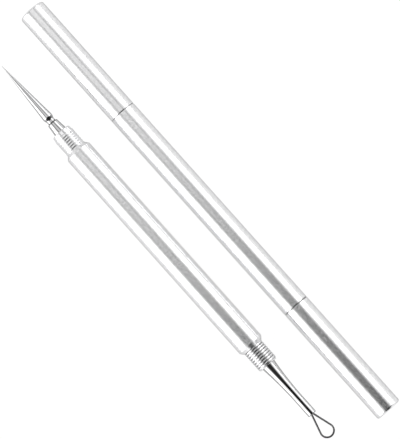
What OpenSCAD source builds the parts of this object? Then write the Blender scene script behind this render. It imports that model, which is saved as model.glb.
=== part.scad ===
// Pair of double-ended blackhead extractor pens, in millimetres, lying side by side along X.
// The bare pen shows its needle (-X end) and its wire loop (+X end).
// The capped pen is the same tool with a screw cap over each end.

/* [Handle] */
// Outer diameter of a handle and of its caps
pen_d = 8; // [7.6:0.1:10]
// Length of a handle at its full diameter
handle_len = 72.2; // [50:0.1:110]
// Length of the sloped shoulder at either end of a handle
shoulder_len = 1.1; // [0.9:0.05:1.5]
// Bore of the handle's tube
handle_bore_d = 5.5; // [4.6:0.1:5.8]

/* [Threaded necks] */
// Diameter over the crests of a neck's thread
neck_d = 6.25; // [6.1:0.05:6.7]
// Length from the end of the full diameter to the face of a neck
neck_len = 7.6; // [5:0.1:12]
// Diameter of the smooth pilot at the end of a neck
pilot_d = 5.8; // [5:0.05:6]
// Length of the pilot on the neck of the needle
needle_pilot_len = 1.4; // [0.8:0.1:2.5]
// Length of the pilot on the neck of the loop, which is threaded nearly to its face
loop_pilot_len = 0.5; // [0.4:0.1:2]
// Rounding of a pilot's edge
pilot_round = 0.3; // [0.1:0.05:0.4]
// Depth of a neck's spigot inside the handle
spigot_len = 9; // [5:0.5:15]
// Depth of the hole in a neck for the root of its tip
root_hole_len = 6.4; // [4:0.1:9]

/* [Needle] */
// Diameter of the collar where it sits on the neck
collar_d = 3.94; // [3.4:0.02:4.6]
// Diameter of the collar at its outer end
collar_end_d = 3.2; // [2.7:0.02:3.4]
// Length of the collar
collar_len = 3.45; // [2:0.05:6]
// Diameter of the waist behind the needle
waist_d = 2.46; // [1.8:0.02:2.6]
// Length of the waist
waist_len = 1.3; // [0.5:0.05:3]
// Largest diameter of the needle
needle_d = 3.06; // [2.7:0.02:3.8]
// Length of the taper from the waist up to that diameter
heel_len = 1.2; // [0.4:0.05:2.5]
// Length from that diameter to the point
point_len = 19.1; // [12:0.1:26]
// Flat left on the very point
point_d = 0.08; // [0.04:0.02:0.3]

/* [Loop] */
// Diameter of the shank where it sits on the neck
shank_root_d = 4.24; // [3.4:0.02:4.8]
// Diameter of the shank past its flare
shank_d = 2.64; // [2:0.02:3]
// Length of the shank
shank_len = 18.3; // [14:0.1:26]
// Length of the flare from the neck
flare_len = 13; // [8:0.5:14]
// Rounding of the shank's outer edge
shank_round = 0.3; // [0.1:0.05:0.5]
// Diameter of the loop's wire
wire_d = 0.54; // [0.4:0.02:0.7]
// Radius of the loop's round end, to the middle of the wire
loop_r = 1.93; // [1.5:0.01:2.3]
// Distance from the shank to the middle of the round end
loop_reach = 6; // [4.5:0.1:8]
// Radius of the bend where a leg leaves the shank, to the middle of the wire
bend_r = 0.6; // [0.4:0.1:1.5]
// Length of the wire's legs inside the shank
leg_len = 5; // [3:0.5:10]

/* [Tip roots] */
// Diameter of the root that holds a needle or a shank in its neck
root_d = 2; // [1.6:0.1:2.4]
// Length of that root
root_len = 6; // [3:0.1:6]

/* [Caps] */
// Width of the open groove between a handle and a cap
seam_w = 0.3; // [0.15:0.05:0.4]
// Bore of a cap past its threaded mouth
cap_bore_d = 5.9; // [5.4:0.05:6]
// Depth of the threaded mouth past the face of the neck
mouth_room = 0.4; // [0.2:0.1:1.5]
// Free length in a cap past the longer tip
cap_room = 3; // [1:0.1:6]
// Thickness of the plug that closes a cap
plug_len = 1.8; // [1.2:0.1:4]
// Rounding of a cap's outer edge
cap_round = 0.65; // [0.2:0.05:0.9]
// Bevel on the edge of the plug's face
plug_bevel = 0.15; // [0.05:0.05:0.4]

/* [Pair] */
// Distance between the axes of the two pens
pair_pitch = 16.6; // [12:0.1:40]
// How far the bare pen lies ahead of the capped one
stagger = -0.2; // [-5:0.1:5]

/* [Fits] */
// Radial clearance of a pressed or soldered seat
seat_c = 0.02; // [0.01:0.01:0.05]
// Radial clearance of a cap on its neck and on its plug
run_c = 0.05; // [0.02:0.01:0.1]

/* [Hidden] */
$fn = 96;
pen_r = pen_d / 2;
neck_r = neck_d / 2;
pilot_r = pilot_d / 2;
wire_r = wire_d / 2;
// How far the shoulder's radius falls over a length of 1
slope = (pen_r - neck_r) / shoulder_len;
// The legs lie side by side in the shank, with a seat's clearance between them
leg_off = wire_r + seat_c;
leg_hole_r = leg_off + wire_r + seat_c;
// A leg bends outwards round a point at this height, to run straight into the round end
bend_y = leg_off + bend_r;
turn_r = bend_r + loop_r;
leg_angle = asin(turn_r / norm([loop_reach, bend_y])) - atan2(bend_y, loop_reach);
WIRE_SIDES = 12;
BEND_STEPS = 3;
ROUND_STEPS = 24;
// The flare is an arc that ends level with the straight part of the shank
flare_drop = (shank_root_d - shank_d) / 2;
flare_r = (flare_len ^ 2 + flare_drop ^ 2) / (2 * flare_drop);
FLARE_STEPS = 16;
needle_reach = collar_len + waist_len + heel_len + point_len;
loop_tip_reach = shank_len + loop_reach + loop_r + wire_r;
// A cap is as long as its mouth, the longer tip, its free length and its plug need
cap_len = neck_len - seam_w + max(needle_reach, loop_tip_reach) + cap_room + plug_len;
// How far past a handle's full diameter a threaded mouth reaches
mouth_end = neck_len + mouth_room;

// Places: a pen's own axis is X, with its origin at the middle of its handle

module at_bare() {
    translate([stagger, -pair_pitch / 2, pen_r]) children();
}

module at_capped() {
    translate([0, pair_pitch / 2, pen_r]) children();
}

// Children start at the end of the handle's full diameter and point away from the handle
module at_loop_end() {
    translate([handle_len / 2, 0, 0]) children();
}

module at_needle_end() {
    mirror([1, 0, 0]) at_loop_end() children();
}

// Children start at the face of the neck
module on_neck() {
    translate([neck_len, 0, 0]) children();
}

// Shapes

// Spins a profile about X, where its points are [radius, distance along X]
module turned() {
    rotate([0, 90, 0]) rotate_extrude() children();
}

// A bar of radius r from x0 to x1 whose outer edge at x1 is rounded by e
module round_ended_profile(r, x0, x1, e) {
    difference() {
        translate([0, x0]) square([r, x1 - x0]);
        translate([r - e, x1 - e]) difference() {
            square(2 * e);
            circle(e);
        }
    }
}

module handle_shape() {
    half = handle_len / 2;
    turned() difference() {
        polygon([
            [0, -half - shoulder_len],
            [neck_r, -half - shoulder_len],
            [pen_r, -half],
            [pen_r, half],
            [neck_r, half + shoulder_len],
            [0, half + shoulder_len]
        ]);
        translate([0, -handle_len]) square([handle_bore_d / 2, 2 * handle_len]);
    }
}

// A stud: its spigot is fixed in the handle, its threaded neck stands out of the shoulder
module neck_shape(pilot_len) {
    thread_end = neck_len - pilot_len;
    turned() difference() {
        union() {
            translate([0, shoulder_len - spigot_len]) square([handle_bore_d / 2 - seat_c, spigot_len]);
            translate([0, shoulder_len]) square([neck_r, thread_end - shoulder_len]);
            round_ended_profile(pilot_r, thread_end, neck_len, pilot_round);
        }
        translate([0, neck_len - root_hole_len]) square([root_d / 2 + seat_c, root_hole_len]);
    }
}

module needle_shape() {
    waist_end = collar_len + waist_len;
    heel_end = waist_end + heel_len;
    turned() polygon([
        [0, -root_len],
        [root_d / 2, -root_len],
        [root_d / 2, 0],
        [collar_d / 2, 0],
        [collar_end_d / 2, collar_len],
        [waist_d / 2, collar_len],
        [waist_d / 2, waist_end],
        [needle_d / 2, heel_end],
        [point_d / 2, heel_end + point_len],
        [0, heel_end + point_len]
    ]);
}

// Radius of the shank at a distance x from the neck, inside the flare
function flare_at(x) = shank_d / 2 + flare_r - sqrt(flare_r ^ 2 - (flare_len - x) ^ 2);

module shank_shape() {
    flare = [for (i = [0:FLARE_STEPS]) let (x = flare_len * i / FLARE_STEPS) [flare_at(x), x]];
    turned() difference() {
        union() {
            translate([0, -root_len]) square([root_d / 2, root_len]);
            polygon(concat([[0, 0]], flare, [[0, flare_len]]));
            round_ended_profile(shank_d / 2, flare_len, shank_len, shank_round);
        }
        translate([0, shank_len - leg_len - seat_c]) square([leg_hole_r, leg_len + 2 * seat_c]);
    }
}

// Stations along the wire as [x, y, heading], with the face of the shank at x = 0.
// It runs out of the shank, bends outwards, runs round the end and comes back the same way.
function leg_stations() = concat(
    [[-leg_len, leg_off, 0]],
    [for (i = [0:BEND_STEPS]) let (a = leg_angle * i / BEND_STEPS)
        [bend_r * sin(a), bend_y - bend_r * cos(a), a]]
);

function end_stations() = [for (i = [0:ROUND_STEPS])
    let (a = (90 + leg_angle) * (1 - 2 * i / ROUND_STEPS))
        [loop_reach + loop_r * cos(a), loop_r * sin(a), a - 90]];

function back_stations(leg) = [for (i = [len(leg) - 1:-1:0])
    [leg[i].x, -leg[i].y, 180 - leg[i].z]];

// Points of the ring round one station
function ring_at(p) = [for (k = [0:WIRE_SIDES - 1]) let (t = 360 * k / WIRE_SIDES)
    [p.x - wire_r * cos(t) * sin(p.z), p.y + wire_r * cos(t) * cos(p.z), wire_r * sin(t)]];

// Two triangles for each side of each stretch between rings, and a face on each end
function tube_faces(rings, n) = concat(
    [for (i = [0:rings - 2], k = [0:n - 1], half = [0, 1])
        let (p = i * n + k, q = i * n + (k + 1) % n)
            half == 0 ? [p, q, q + n] : [p, q + n, p + n]],
    [[for (k = [n - 1:-1:0]) k], [for (k = [0:n - 1]) (rings - 1) * n + k]]
);

module wire_shape() {
    leg = leg_stations();
    stations = concat(leg, end_stations(), back_stations(leg));
    polyhedron([for (p = stations) each ring_at(p)], tube_faces(len(stations), WIRE_SIDES));
}

// A cap's tube: a lip, a seat for the handle's shoulder, a threaded mouth and a plain bore
module cap_tube_shape() {
    mouth_r = neck_r + run_c;
    lip_r = pen_r - slope * seam_w + run_c;
    cap_end = seam_w + cap_len;
    turned() difference() {
        round_ended_profile(pen_r, seam_w, cap_end, cap_round);
        polygon([
            [0, seam_w],
            [lip_r, seam_w],
            [mouth_r, seam_w + (lip_r - mouth_r) / slope],
            [mouth_r, mouth_end],
            [cap_bore_d / 2, mouth_end],
            [cap_bore_d / 2, cap_end],
            [0, cap_end]
        ]);
    }
}

module cap_plug_shape() {
    cap_end = seam_w + cap_len;
    plug_r = cap_bore_d / 2 - run_c;
    turned() polygon([
        [0, cap_end - plug_len],
        [plug_r, cap_end - plug_len],
        [plug_r, cap_end - plug_bevel],
        [plug_r - plug_bevel, cap_end],
        [0, cap_end]
    ]);
}

// The bare pen

module bare_handle() {
    color("silver") at_bare() handle_shape();
}

module bare_needle_neck() {
    color("gainsboro") at_bare() at_needle_end() neck_shape(needle_pilot_len);
}

module bare_loop_neck() {
    color("gainsboro") at_bare() at_loop_end() neck_shape(loop_pilot_len);
}

module bare_needle() {
    color("slategray") at_bare() at_needle_end() on_neck() needle_shape();
}

module bare_loop_shank() {
    color("slategray") at_bare() at_loop_end() on_neck() shank_shape();
}

module bare_loop_wire() {
    color("dimgray") at_bare() at_loop_end() on_neck() translate([shank_len, 0, 0]) wire_shape();
}

// The capped pen

module capped_handle() {
    color("silver") at_capped() handle_shape();
}

module capped_needle_neck() {
    color("gainsboro") at_capped() at_needle_end() neck_shape(needle_pilot_len);
}

module capped_loop_neck() {
    color("gainsboro") at_capped() at_loop_end() neck_shape(loop_pilot_len);
}

module capped_needle() {
    color("slategray") at_capped() at_needle_end() on_neck() needle_shape();
}

module capped_loop_shank() {
    color("slategray") at_capped() at_loop_end() on_neck() shank_shape();
}

module capped_loop_wire() {
    color("dimgray") at_capped() at_loop_end() on_neck() translate([shank_len, 0, 0]) wire_shape();
}

module needle_cap_tube() {
    color("silver") at_capped() at_needle_end() cap_tube_shape();
}

module needle_cap_plug() {
    color("gainsboro") at_capped() at_needle_end() cap_plug_shape();
}

module loop_cap_tube() {
    color("silver") at_capped() at_loop_end() cap_tube_shape();
}

module loop_cap_plug() {
    color("gainsboro") at_capped() at_loop_end() cap_plug_shape();
}

bare_handle();
bare_needle_neck();
bare_loop_neck();
bare_needle();
bare_loop_shank();
bare_loop_wire();
capped_handle();
capped_needle_neck();
capped_loop_neck();
capped_needle();
capped_loop_shank();
capped_loop_wire();
needle_cap_tube();
needle_cap_plug();
loop_cap_tube();
loop_cap_plug();
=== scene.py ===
import math

import bmesh
import bpy
from mathutils import Matrix, Vector


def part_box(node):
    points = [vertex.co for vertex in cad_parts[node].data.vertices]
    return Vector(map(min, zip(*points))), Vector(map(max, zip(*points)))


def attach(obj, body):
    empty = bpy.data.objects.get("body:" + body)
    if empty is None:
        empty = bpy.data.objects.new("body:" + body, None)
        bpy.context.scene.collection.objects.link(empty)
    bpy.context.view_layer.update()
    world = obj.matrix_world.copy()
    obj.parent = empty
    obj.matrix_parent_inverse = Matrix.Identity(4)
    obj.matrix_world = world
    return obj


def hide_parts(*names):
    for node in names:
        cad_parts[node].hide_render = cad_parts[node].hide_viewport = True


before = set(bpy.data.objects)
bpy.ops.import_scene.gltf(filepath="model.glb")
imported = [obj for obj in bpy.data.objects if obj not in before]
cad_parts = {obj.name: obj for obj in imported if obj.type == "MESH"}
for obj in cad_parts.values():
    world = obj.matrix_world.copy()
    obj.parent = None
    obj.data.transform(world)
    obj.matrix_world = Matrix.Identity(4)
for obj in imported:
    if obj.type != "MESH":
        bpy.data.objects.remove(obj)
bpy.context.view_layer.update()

MM = 0.001

# Sizes in mm, the same as in the part's source. Distances along a pen start at the end of
# its handle's full diameter, and along a tip at the face of its neck.
PEN_R = 4.0
PITCH = 0.78
SHOULDER = 1.1
NECK = 7.6
CREST_R = 3.125
SLOPE = (PEN_R - CREST_R) / SHOULDER
SPIGOT_R = 2.73
SPIGOT = 9.0
ROOT_R = 1.0
ROOT = 6.0
SEAT_GAP = 0.02
SEAM = 0.3
CAP_END = 38.9
CAP_BORE_R = 2.95
MOUTH_R = 3.175
MOUTH_END = 8.0
LIP_R = PEN_R - SLOPE * SEAM + 0.05
CAP_ROUND = 0.65
PLUG = 1.8
PLUG_R = 2.9
PLUG_BEVEL = 0.15
NEEDLE = 25.05
HEEL_END = 5.8
HEEL_R = 1.5
SHANK = 18.3
SHANK_R = 1.32
FLARE = 13.0
FLARE_DROP = 0.8
WIRE_R = 0.27
LOOP_R = 1.93
LOOP_REACH = 6.0
BEND_R = 0.6
LEG = 4.0

# How many sides the round pieces have
HANDLE_SIDES = 192
CAP_SIDES = 160
NECK_SIDES = 128
TIP_SIDES = 96
WIRE_SIDES = 24

# Points (x, r) in mm on the needle's collar, where it ends in an undercut, and from its
# waist to its heel
COLLAR_END = [(3.15, 1.629), (3.3, 1.614), (3.38, 1.6), (3.43, 1.58), (3.45, 1.54),
              (3.45, 1.24), (3.48, 1.206), (3.54, 1.198), (3.65, 1.198), (3.8, 1.198)]
WAIST = [(4.0, 1.198), (4.3, 1.2), (4.45, 1.208), (4.55, 1.228), (4.65, 1.262),
         (4.85, 1.33), (5.0, 1.382), (5.15, 1.434), (5.25, 1.468), (5.32, 1.486),
         (5.4, 1.496), (5.5, HEEL_R), (HEEL_END, HEEL_R)]

# How much painted shade darkens the inside of each of the capped pen's seams
NEEDLE_SEAM_SHADE = 0.0
LOOP_SEAM_SHADE = 0.65

# The first groove of each end's thread. The rest of a thread is its last groove, its depth
# and how much painted shade darkens its groove. In a cap's mouth it is cut outwards, so its depth
# is below 0.
NEEDLE_GROOVE = 1.4
LOOP_GROOVE = 1.0
NEEDLE_NECK_THREAD = (5.3, 0.12, 0.0)
LOOP_NECK_THREAD = (7.13, 0.15, 0.95)
MOUTH_THREAD = (7.6, -0.16, 0.5)

# The smooth end of each neck
PILOT_R = 2.9
NEEDLE_PILOT = 1.4
LOOP_PILOT = 0.5


# Surfaces of turned pieces

def smooth(t):
    t = min(max(t, 0.0), 1.0)
    return t * t * (3 - 2 * t)


class Plain:
    """A stretch with neither a groove nor any darkening."""

    depth = 0.0
    darkening = 0.0

    def share(self, x, angle):
        return 0.0


class Tint:
    """A stretch painted darker, such as painted shade in a seam. The darkening is full between the
    second and third of its four ends.
    """

    depth = 0.0

    def __init__(self, darkening, *ends):
        self.darkening, self.ends = darkening, ends

    def share(self, x, angle):
        first, second, third, last = self.ends
        x = abs(x)
        return min(smooth((x - first) / (second - first)), smooth((last - x) / (last - third)))


class Thread:
    """A right-hand thread. Its groove crosses the pen's top at each pitch from first to last."""

    half_width = 0.27
    flank = 0.9 * half_width
    run_out = 0.3
    rings_per_turn = 24

    def __init__(self, first, last, depth, darkening):
        # The thread's darkening is painted shade in its groove, as far as share reaches
        self.first, self.last, self.depth, self.darkening = first, last, depth, darkening

    def share(self, x, angle):
        """How much of the groove's depth is reached at x."""
        along = x - self.first - PITCH * (angle - math.pi / 2) / (2 * math.pi)
        off = abs(along - PITCH * round(along / PITCH))
        fade = min(smooth((x - self.first + self.run_out) / self.run_out),
                   smooth((self.last + self.run_out - x) / self.run_out))
        return smooth((self.half_width - off) / self.flank) * fade

    def rings(self, x0, x1, radius):
        steps = int(round((x1 - x0) / PITCH * self.rings_per_turn))
        return [(x0 + (x1 - x0) * i / steps, radius, self) for i in range(steps + 1)]


PLAIN = Plain()


# Meshes

class Place:
    """A piece's own axis. x runs outwards from origin, towards +X or, turned round, -X."""

    def __init__(self, x, y, z, sign):
        self.x, self.y, self.z, self.sign = x, y, z, sign

    def at(self, x, u, v):
        return Vector((self.x + self.sign * x * MM, self.y + self.sign * u * MM,
                       self.z + v * MM))


def arc(cx, cr, radius, start, end, steps):
    """Points (x, r) on an arc, where angle 0 points along +x and 90 away from the axis."""
    angles = [math.radians(start + (end - start) * i / steps) for i in range(steps + 1)]
    return [(cx + radius * math.cos(a), cr + radius * math.sin(a)) for a in angles]


def turned(bm, place, profile, sides, closed=False):
    """Spins a profile about the place's axis. Its points are (x, r) or (x, r, surface)."""
    cut = bm.verts.layers.float.get("cut") or bm.verts.layers.float.new("cut")
    rings = []
    for x, r, *rest in profile:
        if r < 1e-6:
            rings.append([bm.verts.new(place.at(x, 0, 0))])
            continue
        surface = rest[0] if rest else PLAIN
        ring = []
        for k in range(sides):
            a = 2 * math.pi * k / sides
            share = surface.share(x, a)
            radius = r - surface.depth * share
            vert = bm.verts.new(place.at(x, radius * math.cos(a), radius * math.sin(a)))
            # The attribute cut darkens the colour: painted shade in grooves, seams and undercuts,
            # and a darker heel and point on a needle
            vert[cut] = surface.darkening * share
            ring.append(vert)
        rings.append(ring)
    pairs = list(zip(rings, rings[1:]))
    if closed:
        pairs.append((rings[-1], rings[0]))
    for p, q in pairs:
        for k in range(sides):
            n = (k + 1) % sides
            if len(p) == 1:
                bm.faces.new((p[0], q[n], q[k]))
            elif len(q) == 1:
                bm.faces.new((p[k], p[n], q[0]))
            else:
                bm.faces.new((p[k], p[n], q[n], q[k]))


def swept(bm, place, path, radius, sides):
    """A round tube along a level path of (x, u, heading in radians)."""
    rings = []
    for x, u, h in path:
        ring = []
        for k in range(sides):
            t = 2 * math.pi * k / sides
            side = radius * math.cos(t)
            point = place.at(x - side * math.sin(h), u + side * math.cos(h),
                             radius * math.sin(t))
            ring.append(bm.verts.new(point))
        rings.append(ring)
    for p, q in zip(rings, rings[1:]):
        for k in range(sides):
            n = (k + 1) % sides
            bm.faces.new((p[k], p[n], q[n], q[k]))
    for ring in (rings[0], rings[-1]):
        bm.faces.new(ring)


def finished(name, bm, material, node, body, sharp=32):
    """Makes the object in the CAD node's place, smooth but for edges over sharp degrees."""
    bmesh.ops.recalc_face_normals(bm, faces=bm.faces)
    for f in bm.faces:
        f.smooth = True
    for e in bm.edges:
        e.smooth = e.calc_face_angle(0) < math.radians(sharp)
    mesh = bpy.data.meshes.new(name)
    bm.to_mesh(mesh)
    bm.free()
    mesh.materials.append(material)
    piece = bpy.data.objects.new(name, mesh)
    bpy.context.scene.collection.objects.link(piece)
    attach(piece, body)
    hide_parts(node)


# Shader nodes

def link(tree, a, out, b, into):
    tree.links.new(a.outputs[out], b.inputs[into])


def calculated(tree, operation, *sources):
    """A math node. Its sources are numbers, or pairs of a node and an output."""
    node = tree.nodes.new("ShaderNodeMath")
    node.operation = operation
    for i, source in enumerate(sources):
        if isinstance(source, tuple):
            link(tree, *source, node, i)
        else:
            node.inputs[i].default_value = source
    return node


def light_path_share(tree, kinds):
    """The share given with a ray's kind, or 0 for a ray of any other kind."""
    paths = tree.nodes.new("ShaderNodeLightPath")
    total = None
    for name, share in kinds:
        part = calculated(tree, "MULTIPLY", (paths, name), share)
        total = calculated(tree, "MAXIMUM", (total, 0), (part, 0)) if total else part
    return total


# Materials

def grain(tree, scale, stretch=(1, 1, 1), detail=3.0, fine=0.6):
    """Noise in the piece's own coordinates. scale is in features per metre, and fine is the
    strength of its smaller parts."""
    where = tree.nodes.new("ShaderNodeTexCoord")
    stretched = tree.nodes.new("ShaderNodeMapping")
    stretched.inputs["Scale"].default_value = stretch
    noise = tree.nodes.new("ShaderNodeTexNoise")
    noise.inputs["Scale"].default_value = scale
    noise.inputs["Detail"].default_value = detail
    noise.inputs["Roughness"].default_value = fine
    link(tree, where, "Object", stretched, "Vector")
    link(tree, stretched, "Vector", noise, "Vector")
    return noise


def ranged(tree, source, spread, low, high):
    """Maps the part of a noise that is within spread of its middle, 0.5, to low to high."""
    node = tree.nodes.new("ShaderNodeMapRange")
    node.inputs["From Min"].default_value = 0.5 - spread
    node.inputs["From Max"].default_value = 0.5 + spread
    node.inputs["To Min"].default_value = low
    node.inputs["To Max"].default_value = high
    link(tree, source, 0, node, "Value")
    return node


def metal(name, dark, light, rough, bump, darkened_to, edge=0.68, patch=350.0, mottle=0.5, spread=0.2):
    """A metal whose colour and roughness vary from patch to patch, between dark and light and
    between the two values of rough. bump is (scale, stretch, height in metres). Where the
    attribute cut is 1, dark is multiplied by its darkening factor, which paints shade into
    grooves, seams and undercuts and makes a needle darker at its heel and point. edge is the
    tint at a glancing angle."""
    material = bpy.data.materials.new(name)
    material.use_nodes = True
    tree = material.node_tree
    shader = tree.nodes["Principled BSDF"]
    shader.inputs["Metallic"].default_value = 1.0
    shader.inputs["Specular Tint"].default_value = (edge, edge, edge, 1)

    patches = grain(tree, patch, detail=4.0, fine=mottle)
    tint = tree.nodes.new("ShaderNodeMix")
    tint.data_type = "RGBA"
    tint.inputs["A"].default_value = (*dark, 1)
    tint.inputs["B"].default_value = (*light, 1)
    link(tree, ranged(tree, patches, spread, 0.0, 1.0), "Result", tint, "Factor")
    link(tree, ranged(tree, patches, spread, *rough), "Result", shader, "Roughness")

    # Where the attribute cut is set, the colour is mixed towards a darker copy of dark: painted
    # shade in grooves, seams and undercuts, and a darker heel and point on a needle
    cut = tree.nodes.new("ShaderNodeAttribute")
    cut.attribute_name = "cut"
    shaded = tree.nodes.new("ShaderNodeMix")
    shaded.data_type = "RGBA"
    shaded.inputs["B"].default_value = (*[darkened_to * c for c in dark], 1)
    link(tree, cut, "Fac", shaded, "Factor")
    # Output 2 of a mix node is its colour
    link(tree, tint, 2, shaded, "A")
    link(tree, shaded, 2, shader, "Base Color")

    scale, stretch, height = bump
    relief = tree.nodes.new("ShaderNodeBump")
    relief.inputs["Strength"].default_value = 1.0
    relief.inputs["Distance"].default_value = height
    link(tree, grain(tree, scale, stretch), 0, relief, "Height")
    link(tree, relief, "Normal", shader, "Normal")
    return material


SATIN = metal("satin_aluminium", (0.76, 0.76, 0.77), (0.98, 0.98, 0.985), (0.19, 0.24),
              (2800.0, (1, 1, 1), 0.000009), darkened_to=0.2, edge=0.6,
              patch=1900.0, mottle=0.8, spread=0.1)
TURNED = metal("turned_aluminium", (0.84, 0.84, 0.85), (0.9, 0.9, 0.91), (0.14, 0.2),
               (2500.0, (14, 0.6, 0.6), 0.000002), darkened_to=0.35)
STEEL = metal("polished_steel", (0.51, 0.51, 0.515), (0.57, 0.57, 0.575), (0.05, 0.1),
              (1800.0, (10, 0.7, 0.7), 0.0000006), darkened_to=0.25, edge=0.48)
WIRE = metal("drawn_wire", (0.1, 0.1, 0.103), (0.16, 0.16, 0.163), (0.18, 0.26),
             (4000.0, (1, 1, 1), 0.0000008), darkened_to=0.5, edge=0.25)


# Pieces of a pen

def handle_end(half, darkening):
    """One end of a handle's profile. Its second argument paints shade on the part of its shoulder
    in a cap's seam.
    """
    edge = 0.1
    slope = math.atan(SLOPE)
    start = half - edge * math.tan(slope / 2)
    # Painted shade on the shoulder where it lies in the cap's seam
    seam = Tint(darkening, half + 0.03, half + 0.1, half + SEAM, half + SEAM + 0.1)
    end = [(start - 0.1, PEN_R)]
    end += arc(start, PEN_R - edge, edge, 90, 90 - math.degrees(slope), 5)
    end += [(half + x, PEN_R - x * SLOPE) for x in (0.1, 0.2, 0.3, 0.4, 0.6, SHOULDER)]
    return [(x, r, seam) for x, r in end] + [(half + SHOULDER, SPIGOT_R + SEAT_GAP)]


def handle(pen, body, place, half, seam_shades):
    parts = 12
    profile = [(-x, *rest) for x, *rest in reversed(handle_end(half, seam_shades[0]))]
    profile += [(half * k / parts, PEN_R) for k in range(1 - parts, parts)]
    profile += handle_end(half, seam_shades[1])
    bm = bmesh.new()
    turned(bm, place, profile, HANDLE_SIDES, closed=True)
    finished(pen + "_handle_turned", bm, SATIN, pen + "_handle", body)


def neck(pen, end, body, place, thread, pilot):
    """A neck from its spigot to its face. pilot is the length of its smooth end."""
    face_round = 0.35
    start = NECK - pilot
    profile = [(SHOULDER - SPIGOT, 0.0), (SHOULDER - SPIGOT, SPIGOT_R),
               (SHOULDER, SPIGOT_R), (SHOULDER, CREST_R)]
    profile += thread.rings(SHOULDER, start, CREST_R)
    profile += [(start + 0.1, PILOT_R + 0.1), (NECK - face_round, PILOT_R)]
    profile += arc(NECK - face_round, PILOT_R - face_round, face_round, 90, 0, 5)
    profile += [(NECK, ROOT_R + SEAT_GAP), (NECK - ROOT, ROOT_R + SEAT_GAP), (NECK - ROOT, 0.0)]
    bm = bmesh.new()
    turned(bm, place, profile, NECK_SIDES)
    node = f"{pen}_{end}_neck"
    finished(node + "_cut", bm, TURNED, node, body, sharp=40)


def needle(pen, body, place):
    # Painted shade in the collar's undercut; the needle is also made darker in a ring at its heel
    # and towards its point
    corner = Tint(1.0, 3.15, 3.3, 3.65, 3.8)
    heel = Tint(0.35, 4.5, 4.75, 5.1, 5.3)
    point = Tint(0.3, 6.0, 20.0, 26.0, 27.0)
    collar_r, bevel = 1.97, 0.04
    point_end, point_r = NEEDLE - 0.1, 0.06
    parts = 32
    profile = [(-ROOT, 0.0), (-ROOT, ROOT_R), (0.0, ROOT_R),
               (0.0, collar_r - bevel), (bevel, collar_r)]
    profile += [(x, r, corner) for x, r in COLLAR_END]
    profile += [(x, r, heel) for x, r in WAIST]
    profile += [(HEEL_END + (point_end - HEEL_END) * k / parts,
                 HEEL_R + (point_r - HEEL_R) * k / parts, point) for k in range(1, parts + 1)]
    profile += [(NEEDLE - 0.03, 0.045, point), (NEEDLE, 0.0)]
    bm = bmesh.new()
    turned(bm, place, profile, TIP_SIDES)
    finished(pen + "_needle_ground", bm, STEEL, pen + "_needle", body)


def shank(pen, body, place):
    bevel, end_round, parts = 0.04, 0.3, 32
    radius = (FLARE ** 2 + FLARE_DROP ** 2) / (2 * FLARE_DROP)
    curve = [(x, SHANK_R + radius - math.sqrt(radius ** 2 - (FLARE - x) ** 2))
             for x in [FLARE * k / parts for k in range(parts + 1)]]
    flare_r = curve[0][1]
    profile = [(-ROOT, 0.0), (-ROOT, ROOT_R), (0.0, ROOT_R),
               (0.0, flare_r - bevel), (bevel, flare_r)] + curve[1:]
    profile += [(SHANK - end_round, SHANK_R)]
    profile += arc(SHANK - end_round, SHANK_R - end_round, end_round, 90, 0, 6)
    # A dimple of solder round the wire's legs
    profile += [(SHANK + 0.01, 0.62), (SHANK + 0.05, 0.4), (SHANK + 0.06, 0.0)]
    bm = bmesh.new()
    turned(bm, place, profile, TIP_SIDES)
    finished(pen + "_shank_polished", bm, STEEL, pen + "_loop_shank", body)


def wire(pen, body, place):
    bend_parts, bow_parts = 6, 64
    leg_off = WIRE_R + SEAT_GAP
    bend_y = leg_off + BEND_R
    lean = (math.asin((BEND_R + LOOP_R) / math.hypot(LOOP_REACH, bend_y))
            - math.atan2(bend_y, LOOP_REACH))
    leg = [(-LEG, leg_off, 0.0)]
    for a in [lean * k / bend_parts for k in range(bend_parts + 1)]:
        leg.append((BEND_R * math.sin(a), bend_y - BEND_R * math.cos(a), a))
    turn = math.pi / 2 + lean
    bow = [(LOOP_REACH + LOOP_R * math.cos(a), LOOP_R * math.sin(a), a - math.pi / 2)
           for a in [turn * (1 - 2 * k / bow_parts) for k in range(bow_parts + 1)]]
    back = [(x, -u, math.pi - h) for x, u, h in reversed(leg)]
    bm = bmesh.new()
    swept(bm, place, leg + bow + back, WIRE_R, WIRE_SIDES)
    finished(pen + "_loop_bent", bm, WIRE, pen + "_loop_wire", body)


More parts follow.
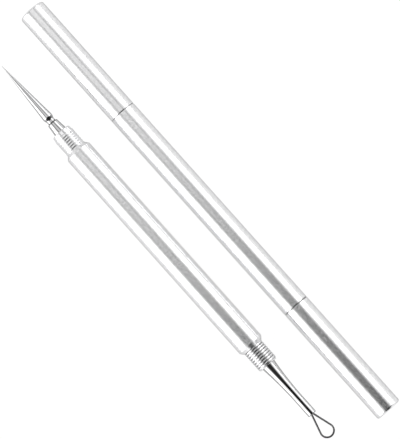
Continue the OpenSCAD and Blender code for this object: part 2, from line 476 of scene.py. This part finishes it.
def cap(end, body, plug_body, place, thread, darkening):
    """A cap's tube and its plug. Its last argument paints shade on the tube's edge in the seam."""
    edge, parts = 0.06, 12
    # Painted shade on the tube's edge inside the seam
    lip = Tint(darkening, 0.0, 0.1, SEAM + 0.02, SEAM + edge)
    round_start = CAP_END - CAP_ROUND
    outer = [(SEAM, LIP_R, lip), (SEAM, PEN_R - edge, lip)]
    outer += [(x, r, lip) for x, r in arc(SEAM + edge, PEN_R - edge, edge, 180, 90, 4)]
    outer += [(SEAM + edge + 0.1, PEN_R)]
    outer += [(SEAM + edge + (round_start - SEAM - edge) * k / parts, PEN_R)
              for k in range(1, parts)]
    outer += [(round_start - 0.1, PEN_R)]
    outer += arc(round_start, PEN_R - CAP_ROUND, CAP_ROUND, 90, 0, 12)
    inner = [(CAP_END, CAP_BORE_R), (MOUTH_END, CAP_BORE_R), (MOUTH_END, MOUTH_R)]
    seat = SEAM + (LIP_R - MOUTH_R) / SLOPE
    inner += reversed(thread.rings(seat, MOUTH_END, MOUTH_R))
    bm = bmesh.new()
    turned(bm, place, outer + inner, CAP_SIDES, closed=True)
    finished(end + "_cap_tube_turned", bm, SATIN, end + "_cap_tube", body, sharp=40)

    face_parts = 6
    profile = [(CAP_END - PLUG, 0.0), (CAP_END - PLUG, PLUG_R),
               (CAP_END - PLUG_BEVEL, PLUG_R), (CAP_END, PLUG_R - PLUG_BEVEL)]
    profile += [(CAP_END, PLUG_R * k / face_parts) for k in range(face_parts - 1, 0, -1)]
    profile += [(CAP_END, 0.0)]
    bm = bmesh.new()
    turned(bm, place, profile, NECK_SIDES)
    finished(end + "_cap_plug_faced", bm, TURNED, end + "_cap_plug", plug_body)


def pen_pieces(pen, seam_shades):
    """Makes a pen's own pieces, and returns the places of its needle's end and its loop's."""
    low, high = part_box(pen + "_handle")
    mid = (low + high) / 2
    half = (high.x - low.x) / 2 / MM - SHOULDER
    body = pen + "_pen"
    handle(pen, body, Place(mid.x, mid.y, mid.z, 1), half, seam_shades)
    needle_end = Place(mid.x - half * MM, mid.y, mid.z, -1)
    loop_end = Place(mid.x + half * MM, mid.y, mid.z, 1)
    neck(pen, "needle", body, needle_end, Thread(NEEDLE_GROOVE, *NEEDLE_NECK_THREAD), NEEDLE_PILOT)
    neck(pen, "loop", body, loop_end, Thread(LOOP_GROOVE, *LOOP_NECK_THREAD), LOOP_PILOT)
    needle(pen, body, Place(needle_end.x - NECK * MM, mid.y, mid.z, -1))
    shank(pen, body, Place(loop_end.x + NECK * MM, mid.y, mid.z, 1))
    wire(pen, body, Place(loop_end.x + (NECK + SHANK) * MM, mid.y, mid.z, 1))
    return needle_end, loop_end


pen_pieces("bare", (0.0, 0.0))
needle_end, loop_end = pen_pieces("capped", (NEEDLE_SEAM_SHADE, LOOP_SEAM_SHADE))
cap("needle", "needle_cap", "needle_cap_end", needle_end,
    Thread(NEEDLE_GROOVE, *MOUTH_THREAD), NEEDLE_SEAM_SHADE)
cap("loop", "loop_cap", "loop_cap_end", loop_end,
    Thread(LOOP_GROOVE, *MOUTH_THREAD), LOOP_SEAM_SHADE)


# Floor

def floor():
    half_size, clearance = 3.0, 0.00002
    bm = bmesh.new()
    bmesh.ops.create_grid(bm, x_segments=8, y_segments=8, size=half_size)
    mesh = bpy.data.meshes.new("floor")
    bm.to_mesh(mesh)
    bm.free()
    sheet = bpy.data.objects.new("floor", mesh)
    sheet.location = (0, 0, -clearance)
    bpy.context.scene.collection.objects.link(sheet)
    material = bpy.data.materials.new("pale_floor")
    material.use_nodes = True
    tree = material.node_tree
    tree.nodes.clear()
    out = tree.nodes.new("ShaderNodeOutputMaterial")
    matt = tree.nodes.new("ShaderNodeBsdfDiffuse")
    matt.inputs["Color"].default_value = (0.8, 0.8, 0.8, 1)
    glow = tree.nodes.new("ShaderNodeEmission")
    glow.inputs["Strength"].default_value = 1.12
    mix = tree.nodes.new("ShaderNodeMixShader")
    seen = light_path_share(tree, [("Is Camera Ray", 0.85), ("Is Glossy Ray", 0.6),
                                   ("Is Transmission Ray", 0.85)])
    link(tree, seen, 0, mix, 0)
    link(tree, matt, 0, mix, 1)
    link(tree, glow, 0, mix, 2)
    link(tree, mix, 0, out, "Surface")
    mesh.materials.append(material)


floor()


# The studio: a long softbox on either side of the pens, and a ceiling between them that is
# pale over the needles' end, and dark over the loops' end and beyond it

def studio():
    world = bpy.data.worlds.new("studio")
    bpy.context.scene.world = world
    world.use_nodes = True
    tree = world.node_tree
    tree.nodes.clear()

    def step(source, output, low, high):
        node = tree.nodes.new("ShaderNodeMapRange")
        node.interpolation_type = "SMOOTHSTEP"
        node.inputs["From Min"].default_value = low
        node.inputs["From Max"].default_value = high
        link(tree, source, output, node, "Value")
        return node

    def degrees(source, low, high):
        return step(source, 0, math.radians(low), math.radians(high))

    def blended(share, low, high):
        """low where share is 0 and high where it is 1. Each is a number or a node."""
        node = tree.nodes.new("ShaderNodeMapRange")
        link(tree, share, "Result", node, "Value")
        for name, value in (("To Min", low), ("To Max", high)):
            if isinstance(value, (int, float)):
                node.inputs[name].default_value = value
            else:
                link(tree, value, "Result", node, name)
        return node

    where = tree.nodes.new("ShaderNodeTexCoord")
    axes = tree.nodes.new("ShaderNodeSeparateXYZ")
    link(tree, where, "Generated", axes, "Vector")
    # The angle from straight up towards +Y, round the pens' own direction
    lean = calculated(tree, "ARCTAN2", (axes, "Y"), (axes, "Z"))
    off = calculated(tree, "ABSOLUTE", (lean, 0))
    aside = calculated(tree, "ABSOLUTE", (axes, "Y"))

    # Across the pens: the ceiling, a gap beside it, then a box whose light grows outwards.
    # Over both tips the box starts later and the gap is wider.
    gap = degrees(off, 16, 21)
    box = degrees(off, 17, 39)
    needle_box = degrees(off, 25, 32)
    shank_box = degrees(off, 24, 42)
    full = degrees(off, 38, 60)
    side = degrees(lean, -20, 20)
    near_side = degrees(lean, -50, -70)
    wide = step(aside, 0, 0.2, 0.42)
    low = step(axes, "Z", 0.35, 0.2)

    # Along them, from the needles' end to the loops' end. The satin tubes reflect the middle,
    # the tips what lies further out, and shoulders and rounded ends the rest.
    behind = step(axes, "X", -0.4, -0.7)
    back = step(axes, "X", -0.32, -0.5)
    tip = step(axes, "X", -0.2, -0.26)
    loops_end = step(axes, "X", -0.09, -0.03)
    root = step(axes, "X", 0.08, 0.16)
    beyond = step(axes, "X", 0.16, 0.35)
    again = step(axes, "X", 0.5, 0.65)

    ceiling = blended(gap, 1.06, blended(tip, 0.5, 0.12))
    ceiling = blended(loops_end, ceiling, blended(root, 0.0, 0.04))
    boxes = blended(full, 1.0, blended(side, 3.6, 2.6))
    boxes = blended(beyond, boxes, blended(again, 0.1, 0.8))
    start = blended(root, blended(tip, box, needle_box), shank_box)
    light = blended(start, ceiling, boxes)
    light = blended(back, light, blended(wide, 0.75, 0.5))
    horizon = blended(near_side, blended(tip, 0.95, 0.4), 3.6)
    horizon = blended(behind, horizon, blended(wide, 0.75, 1.1))
    horizon = blended(beyond, horizon, blended(wide, 0.1, 1.3))
    light = blended(low, light, horizon)

    # The camera sees plain white
    lit = tree.nodes.new("ShaderNodeBackground")
    link(tree, light, "Result", lit, "Color")
    plain = tree.nodes.new("ShaderNodeBackground")
    plain.inputs["Color"].default_value = (1, 1, 1, 1)
    mix = tree.nodes.new("ShaderNodeMixShader")
    seen = light_path_share(tree, [("Is Camera Ray", 1.0), ("Is Transmission Ray", 1.0)])
    out = tree.nodes.new("ShaderNodeOutputWorld")
    link(tree, seen, 0, mix, 0)
    link(tree, lit, 0, mix, 1)
    link(tree, plain, 0, mix, 2)
    link(tree, mix, 0, out, "Surface")


studio()
bpy.context.scene.view_settings.view_transform = "Standard"


# Camera: nearly straight down from over the loops' end, turned so that the pens slant

def camera():
    aim = Vector((0.000514, 0.004445, 0.004))
    distance = 0.78
    tilt = math.radians(4.0)
    turn = math.radians(48.12)
    back = Vector((math.sin(tilt), 0, math.cos(tilt)))
    right = Vector((math.cos(turn), math.sin(turn), 0))
    right = (right - right.dot(back) * back).normalized()
    up = back.cross(right)
    data = bpy.data.cameras.new("camera")
    data.sensor_width = 36.0
    data.lens = 229.1
    data.clip_start = 0.01
    data.clip_end = 20.0
    eye = bpy.data.objects.new("camera", data)
    basis = Matrix((right, up, back)).transposed().to_4x4()
    eye.matrix_world = Matrix.Translation(aim + distance * back) @ basis
    bpy.context.scene.collection.objects.link(eye)
    bpy.context.scene.camera = eye


camera()
